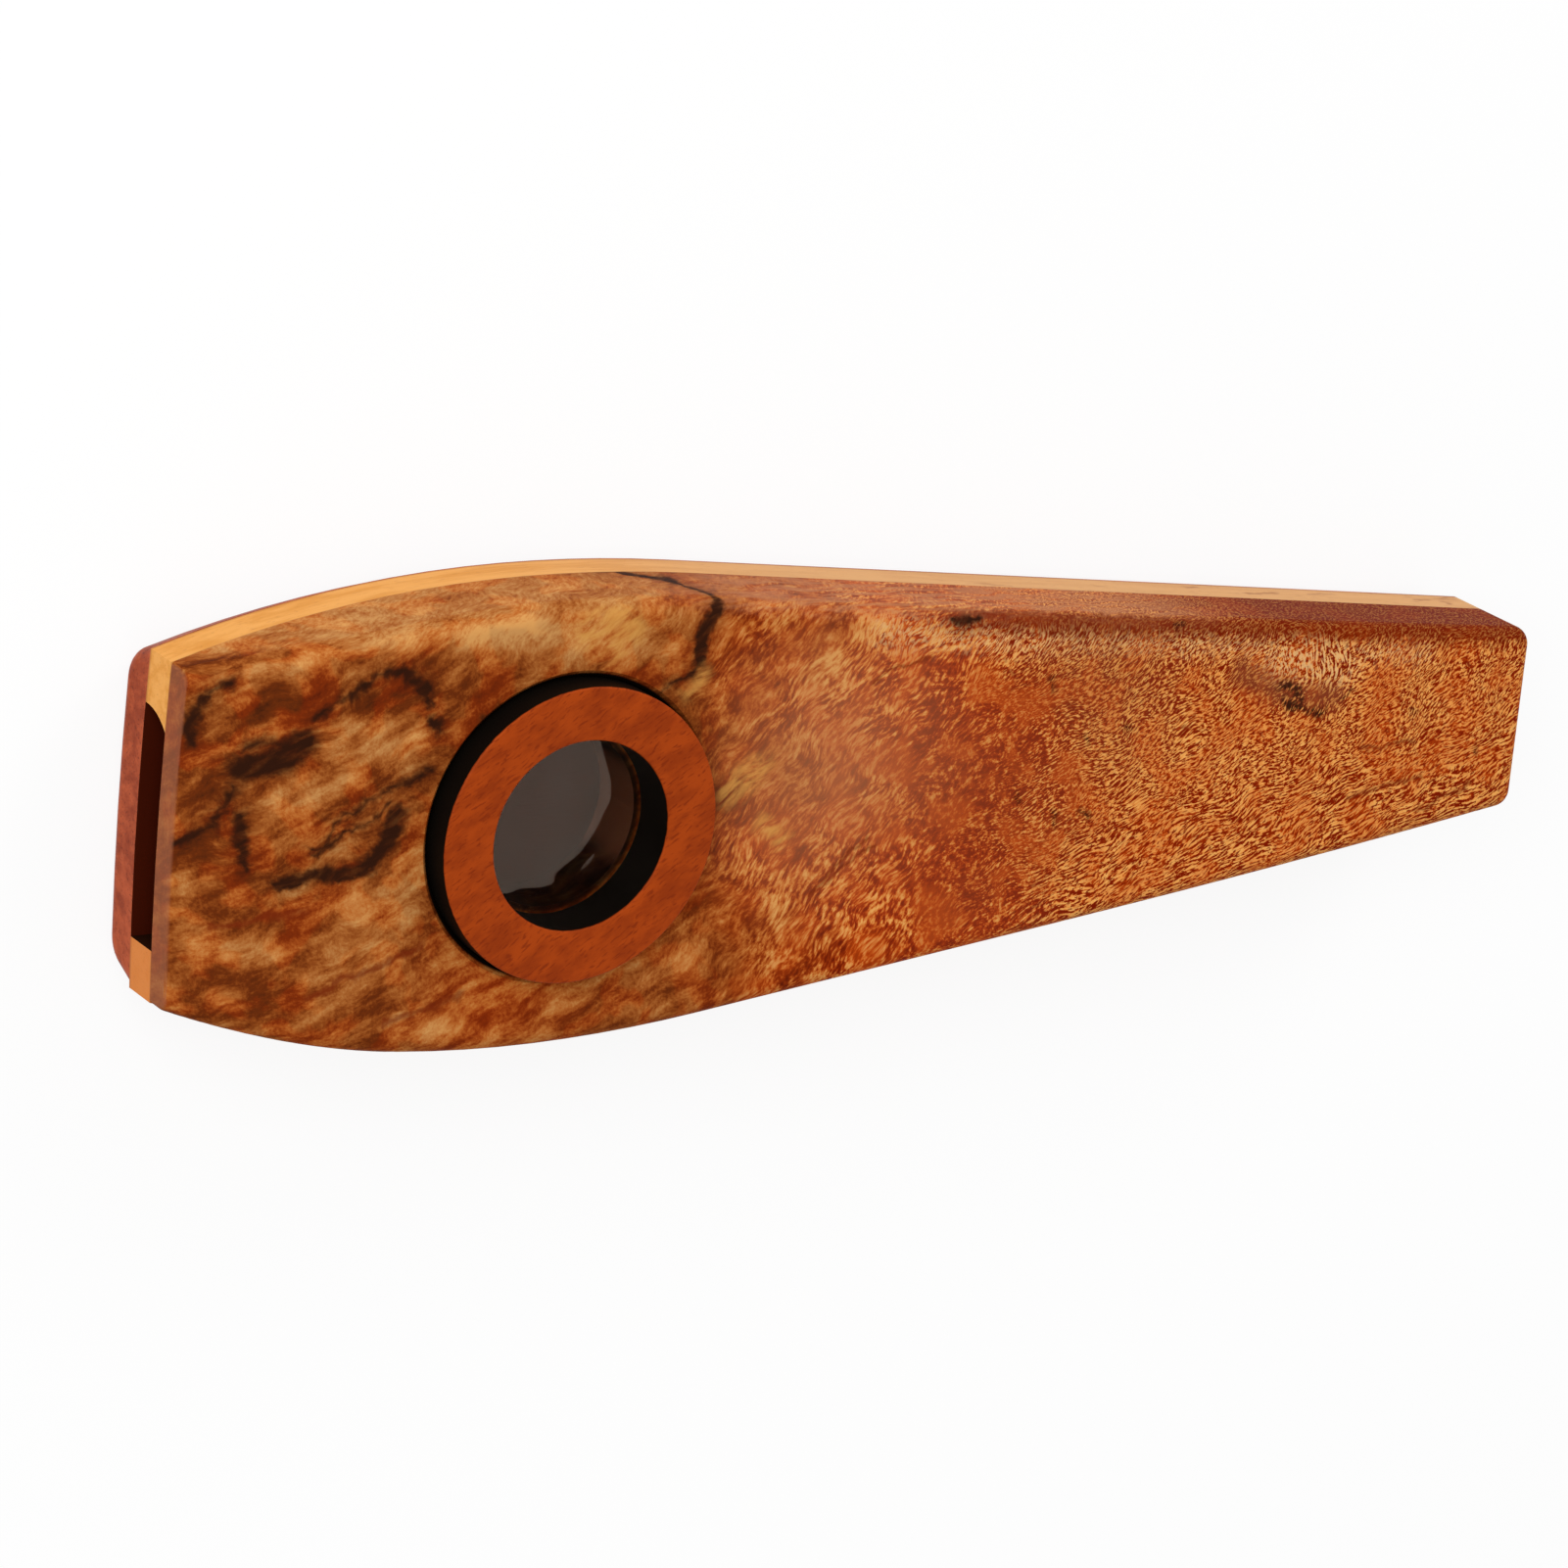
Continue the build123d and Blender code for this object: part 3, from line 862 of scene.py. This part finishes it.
class KAZOO_OT_film(bpy.types.Operator):
    """Clear film with shallow folds under the ring"""

    bl_idname = "kazoo.film"
    bl_label = "Film"

    def execute(self, context):
        look = context.scene.kazoo_film
        clear = Finish("clear_film")
        material = clear.finish(
            Base_Color=look.tint,
            Roughness=look.roughness,
            IOR=1.5,
            Specular_Tint=look.reflection,
            Transmission_Weight=1.0,
        )

        tree = Growth(
            "Film",
            Radius="Float",
            Free="Float",
            Thickness="Float",
            Wrinkle="Float",
            Seed="Int",
            Centre="Vector",
            Material="Material",
        )
        sizes = tree.inputs
        side = tree.times(sizes["Radius"], 2.0)
        coarse = {"Size X": side, "Size Y": side, "Vertices X": 8, "Vertices Y": 8}
        sheet = tree.add("GeometryNodeMeshGrid", coarse)
        # A coarse net with loose points; its rim stays put, so that it becomes a true circle
        shift = 0.6 * MM
        fold = tree.add(
            "FunctionNodeRandomValue",
            {"Min": (-shift, -shift, -MM), "Max": (shift, shift, MM), "Seed": sizes["Seed"]},
            data_type="FLOAT_VECTOR",
        )
        rim = tree.times(sizes["Radius"], 0.95)
        start = tree.axes(tree.add("GeometryNodeInputPosition", {}))
        spread = tree.most(*[tree.math("ABSOLUTE", value) for value in start[:2]])
        inner = tree.math("LESS_THAN", spread, rim)
        inputs = {"Geometry": sheet, "Selection": inner, "Offset": fold}
        sheet = tree.add("GeometryNodeSetPosition", inputs)
        sheet = tree.add("GeometryNodeTriangulate", {"Mesh": sheet})
        sheet = tree.add("GeometryNodeSubdivideMesh", {"Mesh": sheet, "Level": 3})
        px, py, pz = tree.axes(tree.add("GeometryNodeInputPosition", {}))
        # Square to disc, with the folds let in only where the film is free
        squares = [tree.times(value, value) for value in (px, py)]
        double = tree.times(sizes["Radius"], sizes["Radius"], 2.0)
        shares = [tree.math("SUBTRACT", 1.0, tree.math("DIVIDE", value, double)) for value in squares]
        shares = [tree.math("SQRT", tree.most(value, 0.0)) for value in shares]
        round_x = tree.times(px, shares[1])
        round_y = tree.times(py, shares[0])
        reach = tree.vector("LENGTH", tree.add("ShaderNodeCombineXYZ", {0: round_x, 1: round_y}))
        free = tree.band(reach, sizes["Free"], tree.times(sizes["Free"], 0.72))
        rise = tree.times(pz, 1 / MM, free, sizes["Wrinkle"])
        target = tree.add("ShaderNodeCombineXYZ", {0: round_x, 1: round_y, 2: rise})
        sheet = tree.add("GeometryNodeSetPosition", {"Geometry": sheet, "Position": target})
        soft = tree.add(
            "GeometryNodeBlurAttribute",
            {"Value": tree.add("GeometryNodeInputPosition", {}), "Iterations": 2},
            data_type="FLOAT_VECTOR",
        )
        inner = tree.vector("LENGTH", tree.add("GeometryNodeInputPosition", {}))
        inner = tree.math("LESS_THAN", inner, rim)
        inputs = {"Geometry": sheet, "Selection": inner, "Position": soft}
        sheet = tree.add("GeometryNodeSetPosition", inputs)
        up = tree.add("ShaderNodeCombineXYZ", {2: sizes["Thickness"]})
        inputs = {"Mesh": sheet, "Offset": up, "Offset Scale": 1.0, "Individual": False}
        top = tree.add("GeometryNodeExtrudeMesh", inputs)
        under = tree.add("GeometryNodeFlipFaces", {"Mesh": sheet})
        inputs = {"Geometry": tree.joined(top, under), "Distance": 0.001 * MM}
        solid = tree.add("GeometryNodeMergeByDistance", inputs)
        solid = tree.add("GeometryNodeTransform", {"Geometry": solid, "Translation": sizes["Centre"]})
        solid = tree.add("GeometryNodeSetShadeSmooth", {"Geometry": solid})
        values = {
            "Radius": look.radius,
            "Free": look.free_radius,
            "Thickness": look.thickness,
            "Wrinkle": look.wrinkle,
            "Seed": look.seed,
            "Centre": (ring_centre.x, ring_centre.y, look.bottom),
            "Material": material,
        }
        film = grown("clear_film", tree.output(solid), values)
        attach(film, "film")
        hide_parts("membrane")
        return {"FINISHED"}


class KAZOO_OT_stage(bpy.types.Operator):
    """White floor, soft lights and the camera"""

    bl_idname = "kazoo.stage"
    bl_label = "Stage"

    def execute(self, context):
        look = context.scene.kazoo_stage
        scene = context.scene
        scene.view_settings.view_transform = "Standard"

        reach = 4.0
        level = -0.1 * MM
        corners = ((-reach, -reach), (reach, -reach), (reach, reach), (-reach, reach))
        mesh = bpy.data.meshes.new("floor")
        mesh.from_pydata([(*corner, level) for corner in corners], [], [(0, 1, 2, 3)])
        floor = bpy.data.objects.new("floor", mesh)
        scene.collection.objects.link(floor)
        material = bpy.data.materials.new("white_floor")
        material.use_nodes = True
        graph = Graph(material.node_tree)
        material.node_tree.nodes.clear()
        seen = self.seen(graph)
        matt = graph.add("ShaderNodeBsdfDiffuse", {"Color": look.floor})
        white = graph.add("ShaderNodeEmission", {"Color": (1, 1, 1, 1), "Strength": 1.0})
        share = graph.times(seen, look.floor_lift)
        surface = graph.add("ShaderNodeMixShader", {0: share, 1: matt, 2: white})
        graph.add("ShaderNodeOutputMaterial", {"Surface": surface}, out=None)
        mesh.materials.append(material)

        world = bpy.data.worlds.new("studio")
        scene.world = world
        world.use_nodes = True
        graph = Graph(world.node_tree)
        world.node_tree.nodes.clear()
        lift = graph.raised(look.sky, self.seen(graph), 1.0 - look.sky)
        sky = graph.add("ShaderNodeBackground", {"Color": (1, 1, 1, 1), "Strength": lift})
        graph.add("ShaderNodeOutputWorld", {"Surface": sky}, out=None)

        self.lamp("key", (-0.45, 0.30, 0.55), 0.5, look.key_power)
        self.lamp("rim", (0.35, 0.55, 0.28), 0.35, look.rim_power)

        data = bpy.data.cameras.new("camera")
        data.lens = look.lens
        data.sensor_width = 36.0
        data.clip_start = 0.01
        camera = bpy.data.objects.new("camera", data)
        camera.location = look.camera_place
        camera.rotation_euler = look.camera_turn
        scene.collection.objects.link(camera)
        scene.camera = camera
        return {"FINISHED"}

    def seen(self, graph):
        """1 for a ray that shows the background: from the camera, a reflection or through the film."""
        node = graph.tree.nodes.new("ShaderNodeLightPath")
        names = ("Is Camera Ray", "Is Glossy Ray", "Is Transmission Ray")
        return graph.most(*[node.outputs[name] for name in names])

    def lamp(self, name, place, size, power):
        data = bpy.data.lights.new(name, "AREA")
        data.shape = "DISK"
        data.size = size
        data.energy = power
        lamp = bpy.data.objects.new(name, data)
        lamp.location = place
        lamp.rotation_euler = Vector(place).to_track_quat("Z", "Y").to_euler()
        bpy.context.scene.collection.objects.link(lamp)


OPERATORS = (
    KAZOO_OT_back_plate,
    KAZOO_OT_rails,
    KAZOO_OT_front_plate,
    KAZOO_OT_film,
    KAZOO_OT_ring,
    KAZOO_OT_stage,
)
SETTINGS = {
    "kazoo_back_plate": KazooBackPlate,
    "kazoo_rails": KazooRails,
    "kazoo_front_plate": KazooFrontPlate,
    "kazoo_film": KazooFilm,
    "kazoo_ring": KazooRing,
    "kazoo_stage": KazooStage,
}


class VIEW3D_PT_kazoo(bpy.types.Panel):
    """Lists the kazoo's pieces with their settings"""

    bl_idname = "VIEW3D_PT_kazoo"
    bl_label = "Kazoo"
    bl_space_type = "VIEW_3D"
    bl_region_type = "UI"
    bl_category = "Kazoo"

    def draw(self, context):
        for operator, holder in zip(OPERATORS, SETTINGS):
            box = self.layout.box()
            box.operator(operator.bl_idname)
            settings = getattr(context.scene, holder)
            for name in settings.bl_rna.properties.keys():
                if name not in ("rna_type", "name"):
                    box.prop(settings, name)


def register():
    for group in SETTINGS.values():
        bpy.utils.register_class(group)
    for holder, group in SETTINGS.items():
        setattr(bpy.types.Scene, holder, PointerProperty(type=group))
    for operator in OPERATORS:
        bpy.utils.register_class(operator)
    bpy.utils.register_class(VIEW3D_PT_kazoo)


def unregister():
    bpy.utils.unregister_class(VIEW3D_PT_kazoo)
    for operator in reversed(OPERATORS):
        bpy.utils.unregister_class(operator)
    for holder, group in SETTINGS.items():
        delattr(bpy.types.Scene, holder)
        bpy.utils.unregister_class(group)


def main():
    register()
    bpy.ops.kazoo.back_plate()
    bpy.ops.kazoo.rails()
    bpy.ops.kazoo.front_plate()
    bpy.ops.kazoo.film()
    bpy.ops.kazoo.ring()
    bpy.ops.kazoo.stage()


if __name__ == "__main__":
    main()
